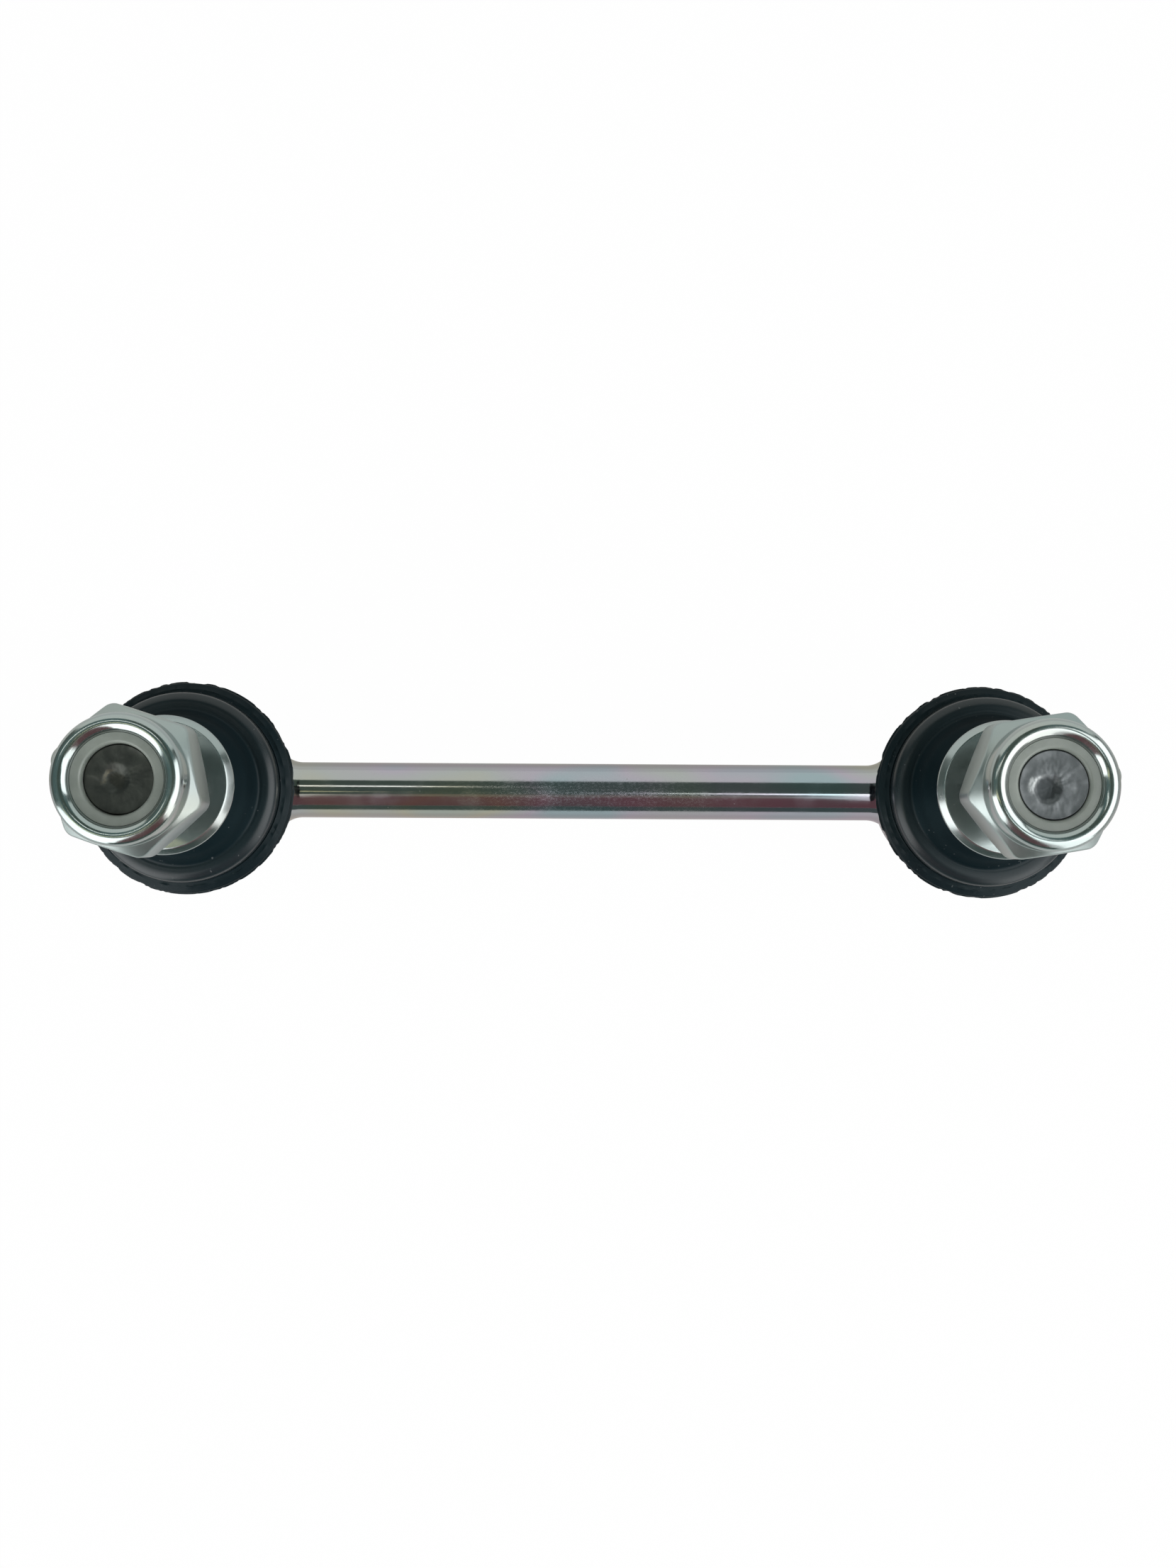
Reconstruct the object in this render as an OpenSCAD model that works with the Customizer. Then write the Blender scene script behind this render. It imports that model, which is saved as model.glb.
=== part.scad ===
// Stabilizer link: a steel rod with a ball joint at each end.
// X runs along the rod and Z along the studs. The origin is on the floor, midway between the balls,
// and the link lies on the undersides of its two housings.

/* [Link] */
// Distance between the two ball centres
centre_distance = 112; // [90:1:300]
// Diameter of the rod
rod_d = 8; // [6:0.5:9]
// Diameter of the upset collar at each welded end of the rod
weld_collar_d = 10; // [9.5:0.5:10.5]
// Straight length of the upset collar, outside the housing
weld_collar_l = 1; // [0.5:0.1:3]
// Radius of the fillet between rod and upset collar
weld_fillet_r = 4; // [2.5:0.25:6]

/* [Housing] */
// Thickness of the housing's wall round the seat
housing_t = 2; // [1.8:0.1:2.5]
// Height of the housing's mouth above the ball centre
mouth_h = 8.5; // [8:0.25:9.5]
// Width of the shoulder that holds the seat in
mouth_ledge = 0.8; // [0.6:0.1:1]
// Thickness of the shoulder round the mouth
mouth_t = 3; // [2.5:0.25:3.5]
// Chamfer at the top of the mouth
mouth_chamfer = 0.8; // [0.2:0.1:1]
// Thickness of the lip rolled over the end cap
rolled_lip_t = 0.8; // [0.5:0.1:1.2]
// Width by which the rolled lip covers the end cap
rolled_lip_w = 1.5; // [1:0.1:2.5]
// Rounding of the housing's lower edge
housing_edge_r = 1.5; // [0.5:0.1:1.5]
// Height of the flange above the boot's groove
boot_flange_h = 0.8; // [0.5:0.1:1.2]
// Width of the ledge outside the flange
boot_ledge = 0.3; // [0.2:0.1:0.5]
// Height of the groove that holds the boot
boot_groove_h = 2; // [1.6:0.1:2.2]
// Depth of the boot's groove under the flange
boot_groove_t = 0.6; // [0.4:0.1:1]

/* [End cap] */
// Width of the ledge that the end cap lies against
cap_ledge = 0.6; // [0.4:0.1:0.8]
// Thickness of the end cap
cap_t = 1.4; // [1:0.1:1.8]
// Diameter of the shallow recess pressed into the end cap
cap_recess_d = 12; // [6:0.5:18]
// Depth of that recess
cap_recess_t = 0.4; // [0.1:0.1:0.6]

/* [Ball and seat] */
// Diameter of the ball
ball_d = 16; // [15:0.25:16.5]
// Thickness of the seat under the ball
seat_floor_t = 1.3; // [1:0.1:2.5]
// Thickness of the seat's wall beside the ball
seat_t = 1.96; // [1.7:0.02:2.4]
// Height of the seat's lip above the ball centre
seat_lip_h = 3.5; // [2.5:0.25:4]
// Diameter of the seat's mouth
seat_mouth_d = 17.2; // [16.8:0.1:18]
// Running clearance between ball and seat
ball_clearance = 0.04; // [0.02:0.01:0.1]

/* [Stud] */
// Diameter of the stud's neck above the ball
neck_d = 8.5; // [7.5:0.25:9]
// Height above the ball centre at which the neck starts to widen
neck_h = 12.5; // [12:0.25:14]
// Length of the taper above the neck
neck_taper_l = 2.5; // [1:0.25:3]
// Diameter of the seat for the boot's lip
boot_seat_d = 12; // [10.5:0.25:13]
// Height above the ball centre of the collar's top face
collar_h = 19.8; // [19.5:0.1:24]
// Width by which the collar stands out past the nut's flats
collar_reach = 0.8; // [0.3:0.1:2]
// Thickness of the collar
collar_t = 1.3; // [1:0.1:2]
// Bevel of the collar's upper edge
collar_bevel = 0.8; // [0.1:0.1:0.9]
// Diameter of the plain pilot above the collar
pilot_d = 10; // [9.5:0.1:12]
// Length of the plain pilot
pilot_l = 4.5; // [3:0.5:6]
// Length of the taper from pilot to thread
pilot_taper_l = 0.7; // [0.4:0.1:1.2]
// Core diameter of the thread
thread_core_d = 8.5; // [7.5:0.1:9]
// Length from the collar's top face to the stud's tip
stud_l = 19; // [16:0.5:30]
// Chamfer at the stud's tip
tip_chamfer = 0.7; // [0.2:0.1:1.2]
// Diameter of the centre dimple in the stud's tip
dimple_d = 2.6; // [1:0.2:4]
// Clearance between the ball and the root of the stud
root_clearance = 0.05; // [0.02:0.01:0.1]

/* [Boot] */
// Width by which the boot's lower lip stands out from its side wall
boot_lip_w = 1.75; // [1.2:0.05:2.2]
// Height of the lower lip
boot_lip_h = 1.3; // [0.8:0.1:1.4]
// Thickness of the boot's side wall round the flange
boot_side_t = 1.45; // [1.35:0.05:1.8]
// Height of the side wall above the housing's mouth
boot_side_h = 0.7; // [0.4:0.1:1]
// Diameter of the edge at the foot of the dome
boot_edge_d = 26; // [25.4:0.1:26.4]
// Diameter of the dome's crown
boot_dome_d = 23.6; // [23:0.1:24.4]
// Diameter of the crease inside the dome
boot_crease_d = 21.6; // [20.8:0.1:22.2]
// Step in from the crease to the foot of the upper fold
boot_step = 0.6; // [0.4:0.1:0.8]
// Diameter at the middle of the upper fold
boot_fold_d = 19.2; // [18.4:0.1:20]
// Gap between the boot's waist and the seat on the stud
boot_waist_gap = 0.35; // [0.15:0.05:0.6]
// Thickness of the boot's neck round the stud
boot_neck_t = 2.1; // [1.9:0.1:2.6]
// Height of the boot's neck
boot_neck_h = 2.6; // [2.2:0.1:3]
// Thickness of the rubber
boot_t = 1.3; // [0.9:0.1:1.4]
// Clearance of the boot round the parts that it grips
boot_clearance = 0.1; // [0.05:0.05:0.2]
// Gap between the boot's lip and the collar
boot_lip_gap = 0.3; // [0.2:0.1:0.8]
// Wire diameter of the boot's two rings
ring_wire_d = 0.9; // [0.6:0.1:1]
// Depth at which a ring lies under the surface of the rubber
ring_depth = 0.05; // [0:0.05:0.2]

/* [Nut] */
// Width across the nut's flats
nut_af = 17; // [16:0.5:19]
// Height of the nut
nut_h = 10; // [9:0.1:12]
// Height of the hexagon
hex_h = 6.6; // [5.5:0.1:7]
// Diameter of the bearing face under the nut
nut_face_d = 15.9; // [14:0.1:16.4]
// Height of the chamfers at the hexagon's corners
hex_chamfer = 1.1; // [0.5:0.1:1.5]
// Outside diameter of the crimped rim
rim_d = 16; // [15:0.1:16.4]
// Radius of the crimp's curl
curl_r = 1.2; // [0.9:0.05:1.25]
// Clearance between the nut's bore and the thread's core
thread_clearance = 0.06; // [0.03:0.01:0.1]
// Countersink diameter at the nut's mouth
countersink_d = 10.6; // [10:0.1:11]
// Height above the nut's base at which the locking ring lies
insert_h = 7; // [6.6:0.1:7.4]
// Wall of the nut round the locking ring
insert_wall = 0.6; // [0.4:0.05:0.8]
// Depth of the locking ring's face under the rim's crest
insert_recess = 0.9; // [0.2:0.05:1.1]
// Rounding of the locking ring's inner edge
insert_edge_r = 0.4; // [0.1:0.1:0.6]
// Clearance round the locking ring
insert_clearance = 0.03; // [0.02:0.01:0.06]
// Gap between the left nut and its collar
left_nut_gap = 10.8; // [1:0.1:11.4]
// Gap between the right nut and its collar
right_nut_gap = 10.2; // [1:0.1:11.4]
// Turn of the left nut
left_nut_turn = 42; // [0:1:60]
// Turn of the right nut
right_nut_turn = 9; // [0:1:60]

/* [Hidden] */
$fn = 64;
cut = 1;
zinc = "silver";
rubber = "#202423";
rod_r = rod_d / 2;
ball_r = ball_d / 2;
socket_d = ball_d + 2 * (ball_clearance + seat_t);
mouth_d = socket_d - 2 * mouth_ledge;
cap_d = socket_d + 2 * cap_ledge;
rolled_lip_d = cap_d - 2 * rolled_lip_w;
housing_d = socket_d + 2 * housing_t;
housing_r = housing_d / 2;
ball_z = rolled_lip_t + cap_t + seat_floor_t + ball_r;
housing_h = ball_z + mouth_h;
seat_z = rolled_lip_t + cap_t;
mouth_z = housing_h - mouth_t;
groove_z = housing_h - boot_flange_h - boot_groove_h;
boot_flange_d = housing_d - 2 * boot_ledge;
boot_groove_d = boot_flange_d - 2 * boot_groove_t;
collar_z = ball_z + collar_h;
collar_under_z = collar_z - collar_t;
collar_d = nut_af + 2 * collar_reach;
boot_z = groove_z + boot_clearance;
boot_side_d = boot_flange_d + 2 * (boot_clearance + boot_side_t);
boot_d = boot_side_d + 2 * boot_lip_w;
boot_waist_d = boot_seat_d + 2 * (boot_clearance + boot_waist_gap + boot_t);
boot_neck_d = boot_seat_d + 2 * (boot_clearance + boot_neck_t);
boot_top_z = collar_under_z - boot_lip_gap;
boot_neck_z = boot_top_z - boot_neck_h;
ring_r = ring_wire_d / 2;
base_ring_r = boot_side_d / 2 - ring_depth - ring_r;
base_ring_z = boot_z + boot_lip_h + ring_wire_d;
neck_ring_r = boot_neck_d / 2 - ring_depth - ring_r;
neck_ring_z = (boot_neck_z + boot_top_z) / 2;
nut_bore_d = thread_core_d + 2 * thread_clearance;
insert_d = rim_d - 2 * insert_wall;
curl_at = [rim_d / 2 - curl_r, nut_h - curl_r];

// Point at share t between the two middle points of a smooth curve through four points
function curve_point(a, b, c, d, t) =
    0.5 * (2 * b + (c - a) * t + (2 * a - 5 * b + 4 * c - d) * t * t
        + (3 * b - a - 3 * c + d) * t * t * t);

// Smooth curve through a list of points, with steps points to each stretch
function curve(points, steps) = [
    for (i = [0 : len(points) - 2])
        for (j = [0 : i == len(points) - 2 ? steps : steps - 1])
            curve_point(
                points[max(i - 1, 0)], points[i], points[i + 1],
                points[min(i + 2, len(points) - 1)], j / steps)
];

// The same curve, moved sideways by d to its left
function moved_left(path, d) = [
    for (i = [0 : len(path) - 1])
        let (along = path[min(i + 1, len(path) - 1)] - path[max(i - 1, 0)])
            path[i] + d * [-along[1], along[0]] / norm(along)
];

function reversed(path) = [for (i = [len(path) - 1 : -1 : 0]) path[i]];

// Puts an end's piece on the left (-1) or the right (1) ball axis
module at_end(side) {
    translate([side * centre_distance / 2, 0, 0]) children();
}

// What a rounding of radius r takes off a lower right corner of an outline
module lower_corner(corner, r) {
    translate([corner[0] - r, corner[1]])
        difference() {
            translate([0, -cut]) square([r + cut, r + cut]);
            translate([0, r]) circle(r);
        }
}

// Half of the rod's outline: plain rod, concave fillet, upset collar
module rod_half() {
    reach = centre_distance / 2 - housing_r + weld_collar_d / 4;
    rise = (weld_collar_d - rod_d) / 2;
    fillet_l = sqrt(weld_fillet_r ^ 2 - (weld_fillet_r - rise) ^ 2);
    fillet_at = centre_distance / 2 - housing_r - weld_collar_l - fillet_l;
    square([rod_r, reach]);
    difference() {
        translate([0, fillet_at]) square([weld_collar_d / 2, reach - fillet_at]);
        translate([rod_r + weld_fillet_r, fillet_at]) circle(weld_fillet_r);
    }
}

module link_rod() {
    color(zinc)
        difference() {
            translate([0, 0, ball_z])
                rotate([0, 90, 0])
                    rotate_extrude() {
                        rod_half();
                        mirror([0, 1]) rod_half();
                    }
            for (side = [-1, 1])
                at_end(side) cylinder(r = housing_r, h = housing_h);
        }
}

module socket_housing() {
    color(zinc)
        rotate_extrude()
            difference() {
                square([housing_r, housing_h]);
                translate([0, -cut]) square([rolled_lip_d / 2, mouth_z + cut]);
                translate([0, rolled_lip_t]) square([cap_d / 2, cap_t]);
                translate([0, seat_z]) square([socket_d / 2, mouth_z - seat_z]);
                translate([0, mouth_z - cut]) square([mouth_d / 2, mouth_t + 2 * cut]);
                polygon([
                    [0, housing_h + cut],
                    [mouth_d / 2 + mouth_chamfer + cut, housing_h + cut],
                    [mouth_d / 2, housing_h - mouth_chamfer],
                    [0, housing_h - mouth_chamfer],
                ]);
                translate([boot_groove_d / 2, groove_z]) square([housing_d, boot_groove_h]);
                translate([boot_flange_d / 2, groove_z]) square([housing_d, housing_h]);
                lower_corner([housing_r, 0], housing_edge_r);
            }
}

module end_cap() {
    color("darkgray")
        rotate_extrude()
            difference() {
                translate([0, rolled_lip_t]) square([cap_d / 2, cap_t]);
                square([cap_recess_d / 2, rolled_lip_t + cap_recess_t]);
            }
}

module ball_seat() {
    lip_r = sqrt((ball_r + ball_clearance) ^ 2 - seat_lip_h ^ 2);
    color("ivory")
        rotate_extrude()
            difference() {
                translate([0, seat_z]) square([socket_d / 2, mouth_z - seat_z]);
                translate([0, ball_z]) circle(ball_r + ball_clearance);
                polygon([
                    [0, ball_z],
                    [lip_r, ball_z + seat_lip_h],
                    [seat_mouth_d / 2, mouth_z],
                    [seat_mouth_d / 2, mouth_z + cut],
                    [0, mouth_z + cut],
                ]);
            }
}

module ball() {
    color("gainsboro")
        translate([0, 0, ball_z]) sphere(ball_r);
}

module ball_stud() {
    tip_z = collar_z + stud_l;
    pilot_top = collar_z + pilot_l;
    color(zinc)
        difference() {
            rotate_extrude()
                polygon([
                    [0, ball_z],
                    [neck_d / 2, ball_z],
                    [neck_d / 2, ball_z + neck_h],
                    [boot_seat_d / 2, ball_z + neck_h + neck_taper_l],
                    [boot_seat_d / 2, collar_under_z],
                    [collar_d / 2, collar_under_z],
                    [collar_d / 2, collar_z - collar_bevel],
                    [collar_d / 2 - collar_bevel, collar_z],
                    [pilot_d / 2, collar_z],
                    [pilot_d / 2, pilot_top],
                    [thread_core_d / 2, pilot_top + pilot_taper_l],
                    [thread_core_d / 2, tip_z - tip_chamfer],
                    [thread_core_d / 2 - tip_chamfer, tip_z],
                    [dimple_d / 2, tip_z],
                    [0, tip_z - dimple_d / 4],
                ]);
            translate([0, 0, ball_z]) sphere(ball_r + root_clearance);
        }
}

// Lip and side wall below, then a curve over the dome, crease and upper fold to the neck.
// The curve's points are diameters and shares of the height between side wall and neck.
module dust_boot() {
    foot_z = housing_h + boot_side_h;
    rise = boot_neck_z - foot_z;
    outer = curve([
        [boot_side_d / 2, foot_z],
        [boot_edge_d / 2, foot_z + 0.12 * rise],
        [boot_dome_d / 2, foot_z + 0.22 * rise],
        [boot_crease_d / 2, foot_z + 0.26 * rise],
        [boot_crease_d / 2 - boot_step, foot_z + 0.37 * rise],
        [boot_fold_d / 2, foot_z + 0.51 * rise],
        [(boot_fold_d + boot_waist_d) / 4, foot_z + 0.66 * rise],
        [boot_waist_d / 2, foot_z + 0.84 * rise],
        [boot_neck_d / 2, boot_neck_z],
    ], 4);
    lowest = housing_h + 2 * boot_clearance;
    inner = [for (p = moved_left(outer, boot_t)) if (p[1] > lowest && p[1] < boot_neck_z) p];
    bore_r = boot_seat_d / 2 + boot_clearance;
    flange_r = boot_flange_d / 2 + boot_clearance;
    groove_r = boot_groove_d / 2 + boot_clearance;
    color(rubber)
        rotate_extrude()
            difference() {
                polygon(concat(
                    [
                        [groove_r, boot_z],
                        [boot_d / 2, boot_z],
                        [boot_d / 2, boot_z + boot_lip_h],
                        [boot_side_d / 2, boot_z + boot_lip_h + ring_r],
                    ],
                    outer,
                    [
                        [boot_neck_d / 2, boot_top_z],
                        [bore_r, boot_top_z],
                        [bore_r, boot_neck_z],
                    ],
                    reversed(inner),
                    [
                        [flange_r, housing_h + boot_clearance],
                        [flange_r, housing_h - boot_flange_h - boot_clearance],
                        [groove_r, housing_h - boot_flange_h - boot_clearance],
                    ]
                ));
                translate([base_ring_r, base_ring_z]) circle(ring_r + boot_clearance);
                translate([neck_ring_r, neck_ring_z]) circle(ring_r + boot_clearance);
            }
}

module wire_ring(at_r, at_z) {
    color("gray")
        rotate_extrude()
            translate([at_r, at_z]) circle(ring_r);
}

// The nut's revolved outline: chamfered hexagon envelope below, crimped rim above
module nut_turned() {
    corner_r = nut_af / sqrt(3);
    wall_r = insert_d / 2 + insert_clearance;
    lower_slope = hex_chamfer / (corner_r - nut_face_d / 2);
    upper_slope = hex_chamfer / (corner_r - rim_d / 2);
    difference() {
        union() {
            polygon([
                [0, 0],
                [nut_face_d / 2, 0],
                [corner_r + cut, hex_chamfer + cut * lower_slope],
                [corner_r + cut, hex_h - hex_chamfer - cut * upper_slope],
                [rim_d / 2, hex_h],
                [rim_d / 2, curl_at[1]],
                [0, curl_at[1]],
            ]);
            translate(curl_at) circle(curl_r);
        }
        difference() {
            translate([0, insert_h - insert_clearance]) square([wall_r, nut_h]);
            translate(curl_at) circle(curl_r);
        }
        translate([0, -cut]) square([nut_bore_d / 2, nut_h + 2 * cut]);
        polygon([
            [0, -cut],
            [countersink_d / 2 + cut, -cut],
            [nut_bore_d / 2, (countersink_d - nut_bore_d) / 2],
            [0, (countersink_d - nut_bore_d) / 2],
        ]);
    }
}

module lock_nut(gap, turn) {
    color(zinc)
        translate([0, 0, collar_z + gap])
            intersection() {
                rotate_extrude() nut_turned();
                union() {
                    rotate(turn) cylinder(r = nut_af / sqrt(3), h = hex_h, $fn = 6);
                    translate([0, 0, hex_h - cut]) cylinder(d = (rim_d + nut_af) / 2, h = nut_h);
                }
            }
}

module nylon_insert(gap) {
    face_h = nut_h - insert_recess;
    color("#b9b8aa")
        translate([0, 0, collar_z + gap])
            rotate_extrude()
                difference() {
                    translate([nut_bore_d / 2, insert_h])
                        square([(insert_d - nut_bore_d) / 2, face_h - insert_h]);
                    translate(curl_at) circle(curl_r + insert_clearance);
                    translate([nut_bore_d / 2, face_h])
                        rotate(180) lower_corner([0, 0], insert_edge_r);
                }
}

module left_socket_housing() { at_end(-1) socket_housing(); }
module right_socket_housing() { at_end(1) socket_housing(); }
module left_end_cap() { at_end(-1) end_cap(); }
module right_end_cap() { at_end(1) end_cap(); }
module left_ball_seat() { at_end(-1) ball_seat(); }
module right_ball_seat() { at_end(1) ball_seat(); }
module left_ball() { at_end(-1) ball(); }
module right_ball() { at_end(1) ball(); }
module left_ball_stud() { at_end(-1) ball_stud(); }
module right_ball_stud() { at_end(1) ball_stud(); }
module left_dust_boot() { at_end(-1) dust_boot(); }
module right_dust_boot() { at_end(1) dust_boot(); }
module left_boot_base_ring() { at_end(-1) wire_ring(base_ring_r, base_ring_z); }
module right_boot_base_ring() { at_end(1) wire_ring(base_ring_r, base_ring_z); }
module left_boot_neck_ring() { at_end(-1) wire_ring(neck_ring_r, neck_ring_z); }
module right_boot_neck_ring() { at_end(1) wire_ring(neck_ring_r, neck_ring_z); }
module left_lock_nut() { at_end(-1) lock_nut(left_nut_gap, left_nut_turn); }
module right_lock_nut() { at_end(1) lock_nut(right_nut_gap, right_nut_turn); }
module left_nylon_insert() { at_end(-1) nylon_insert(left_nut_gap); }
module right_nylon_insert() { at_end(1) nylon_insert(right_nut_gap); }

link_rod();
left_socket_housing();
right_socket_housing();
left_end_cap();
right_end_cap();
left_ball_seat();
right_ball_seat();
left_ball();
right_ball();
left_ball_stud();
right_ball_stud();
left_dust_boot();
right_dust_boot();
left_boot_base_ring();
right_boot_base_ring();
left_boot_neck_ring();
right_boot_neck_ring();
left_lock_nut();
right_lock_nut();
left_nylon_insert();
right_nylon_insert();
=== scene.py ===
import math

import bpy
from mathutils import Matrix, Vector, noise


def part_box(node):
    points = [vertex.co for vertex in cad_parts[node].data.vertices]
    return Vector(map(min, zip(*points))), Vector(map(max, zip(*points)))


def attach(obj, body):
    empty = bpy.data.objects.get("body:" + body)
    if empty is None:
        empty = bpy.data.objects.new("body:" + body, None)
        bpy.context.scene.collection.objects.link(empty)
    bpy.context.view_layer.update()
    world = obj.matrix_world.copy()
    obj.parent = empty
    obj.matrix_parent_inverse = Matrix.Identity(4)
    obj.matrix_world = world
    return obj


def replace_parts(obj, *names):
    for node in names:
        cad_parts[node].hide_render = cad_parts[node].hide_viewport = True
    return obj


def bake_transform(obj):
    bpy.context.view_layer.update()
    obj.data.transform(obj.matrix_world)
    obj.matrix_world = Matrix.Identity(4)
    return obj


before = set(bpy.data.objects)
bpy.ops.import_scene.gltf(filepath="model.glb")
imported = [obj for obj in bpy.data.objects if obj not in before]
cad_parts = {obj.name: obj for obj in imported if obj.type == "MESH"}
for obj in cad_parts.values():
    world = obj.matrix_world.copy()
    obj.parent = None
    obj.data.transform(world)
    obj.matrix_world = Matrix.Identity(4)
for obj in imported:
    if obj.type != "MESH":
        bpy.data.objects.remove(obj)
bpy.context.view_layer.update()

# Link rod. A drawn steel bar, upset at both ends and welded to the ball housings.
# It is zinc plated and passivated after welding, so the bar's drawing marks still show
# under a bright skin with faint rainbow tints.

MM = 0.001
SIDES = ("left", "right")


class Signal:
    """A socket in a material's node tree. Arithmetic on it adds Math nodes to that tree."""

    def __init__(self, tree, socket=None):
        self.tree = tree
        self.socket = socket

    def node(self, kind, settings, inputs, output=0):
        """Adds a node: its settings first, then values or links for its sockets."""
        made = self.tree.nodes.new(kind)
        for name, value in settings.items():
            if name == "stops":
                ramp = made.color_ramp.elements
                while len(ramp) < len(value):
                    ramp.new(1.0)
                for element, (place, colour) in zip(ramp, value):
                    element.position = place
                    element.color = (*colour, 1.0)
            else:
                setattr(made, name, value)
        for name, value in inputs.items():
            if isinstance(value, Signal):
                self.tree.links.new(value.socket, made.inputs[name])
            else:
                made.inputs[name].default_value = value
        return Signal(self.tree, made.outputs[output])

    def math(self, operation, *values):
        return self.node("ShaderNodeMath", {"operation": operation}, dict(enumerate(values)))

    def __add__(self, other):
        return self.math("ADD", self, other)

    def __sub__(self, other):
        return self.math("SUBTRACT", self, other)

    def __rsub__(self, other):
        return self.math("SUBTRACT", other, self)

    def __mul__(self, other):
        return self.math("MULTIPLY", self, other)

    def __abs__(self):
        return self.math("ABSOLUTE", self)

    __radd__ = __add__
    __rmul__ = __mul__

    def above(self, low, high):
        """0 where this is under low, 1 where it is over high, and a smooth step between."""
        return self.node(
            "ShaderNodeMapRange", {"interpolation_type": "SMOOTHSTEP"},
            {"Value": self, "From Min": low, "From Max": high})

    def blend(self, without, full):
        """The colour without where this is 0, and the colour full where it is 1."""
        ends = {
            socket: colour if isinstance(colour, Signal) else (*colour, 1.0)
            for socket, colour in ((6, without), (7, full))
        }
        return self.node("ShaderNodeMix", {"data_type": "RGBA"}, {0: self, **ends}, 2)

    def where(self):
        """The place on the piece, in metres."""
        return self.node("ShaderNodeTexCoord", {}, {}, "Object")

    def part(self, axis):
        """One coordinate of a place: X, Y or Z."""
        return self.node("ShaderNodeSeparateXYZ", {}, {"Vector": self}, axis)

    def stretched(self, scale):
        return self.node("ShaderNodeMapping", {}, {"Vector": self, "Scale": scale})

    def grain(self, per_metre, detail=2.0):
        """Cloudy noise round 0.5, at this many features to the metre."""
        inputs = {"Vector": self, "Scale": per_metre, "Detail": detail}
        return self.node("ShaderNodeTexNoise", {}, inputs, "Fac")

    def relief(self, depth_mm):
        """A bumped normal, with this as its height."""
        inputs = {"Height": self, "Distance": depth_mm * MM, "Strength": 1.0}
        return self.node("ShaderNodeBump", {}, inputs, "Normal")


def finish(name, fixed, varying):
    """A material: fixed values sit on the shader's own sockets, varying ones are linked to them."""
    material = bpy.data.materials.new(name)
    material.use_nodes = True
    tree = material.node_tree
    shader = tree.nodes["Principled BSDF"]
    for socket, value in fixed.items():
        shader.inputs[socket].default_value = value
    for socket, signal in varying(Signal(tree)).items():
        tree.links.new(signal.socket, shader.inputs[socket])
    return material


EVEN = (1.0, 1.0, 1.0)
PIT_GREY = (0.17, 0.175, 0.165)


def zinc(name, tones, dullness, marks_mm, stretch=EVEN, scuffed_mm=0.0):
    """Plated steel: tones are the colours that its passivation drifts through, and stretch draws
    its marks out. Handling can scuff it, up to this far from the middle of the link."""
    def varying(start):
        place = start.where()
        marks = place.stretched(stretch).grain(1500, 4.0)
        drift = place.stretched((1.0, 2.2, 2.2)).grain(45, 1.5)
        stops = [(0.3 + 0.4 * i / (len(tones) - 1), tone) for i, tone in enumerate(tones)]
        film = drift.node("ShaderNodeValToRGB", {"stops": stops}, {"Fac": drift}, "Color")
        pits = place.grain(2600, 2.0).above(0.73, 0.80)
        dulled = place.grain(260, 3.0).above(0.45, 0.75)
        roughness = marks * 0.10 + dulled * 0.07 + pits * 0.2 + (dullness - 0.05)
        if scuffed_mm:
            reach = scuffed_mm * MM
            handled = 1.0 - abs(place.part("X")).above(0.1 * reach, reach)
            scuffs = place.stretched((0.6, 1.0, 1.0)).grain(4200, 3.0).above(0.42, 0.68)
            roughness = roughness + handled * (scuffs * 0.09 + 0.04)
        return {
            "Base Color": (pits * 0.4).blend(film, PIT_GREY),
            "Roughness": roughness,
            "Normal": (marks - pits * 0.6).relief(marks_mm),
        }
    return finish(name, {"Metallic": 1.0}, varying)


def arc(centre, radius, start, end, steps):
    """Points of an arc in an outline, with its angles in degrees."""
    turns = [math.radians(start + (end - start) * k / steps) for k in range(steps + 1)]
    return [(centre[0] + radius * math.cos(t), centre[1] + radius * math.sin(t)) for t in turns]


ON_AXIS = 1e-6


def spun(outline, angles=128, closed=False):
    """Vertices and faces of an outline of (radius, height) points turned about an upright axis.
    The outline may be a function of the angle, and angles a count or a list."""
    if isinstance(angles, int):
        angles = [2 * math.pi * k / angles for k in range(angles)]
    columns = [outline(a) if callable(outline) else outline for a in angles]
    verts, rings = [], []
    for row in zip(*columns):
        first = len(verts)
        if row[0][0] < ON_AXIS:
            verts.append((0.0, 0.0, row[0][1]))
        else:
            verts += [(r * math.cos(a), r * math.sin(a), z) for a, (r, z) in zip(angles, row)]
        rings.append(range(first, len(verts)))
    pairs = list(zip(rings, rings[1:]))
    if closed:
        pairs.append((rings[-1], rings[0]))
    faces = []
    for low, high in pairs:
        for k in range(len(angles)):
            n = (k + 1) % len(angles)
            quad = (low[k % len(low)], low[n % len(low)], high[n % len(high)], high[k % len(high)])
            faces.append(tuple(dict.fromkeys(quad)))
    return verts, faces


def joined(*meshes):
    """One set of vertices and faces out of several."""
    verts, faces = [], []
    for more_verts, more_faces in meshes:
        faces += [tuple(i + len(verts) for i in face) for face in more_faces]
        verts += more_verts
    return verts, faces


SHARP_EDGE = math.radians(35)


def piece(name, mesh, place, slot, *materials, pick=None):
    """Puts a mesh made in millimetres in the scene.
    pick chooses a material for a face by its middle."""
    verts, faces = mesh
    data = bpy.data.meshes.new(name)
    data.from_pydata([place @ (Vector(v) * MM) for v in verts], [], faces)
    data.shade_smooth()
    data.set_sharp_from_angle(angle=SHARP_EDGE)
    for material in materials:
        data.materials.append(material)
    if pick:
        for face in data.polygons:
            centre = sum((Vector(verts[i]) for i in face.vertices), Vector()) / len(face.vertices)
            face.material_index = pick(centre)
    made = bpy.data.objects.new(name, data)
    bpy.context.scene.collection.objects.link(made)
    return made


def middle(node):
    low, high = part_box(node)
    return (low + high) / 2


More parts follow.
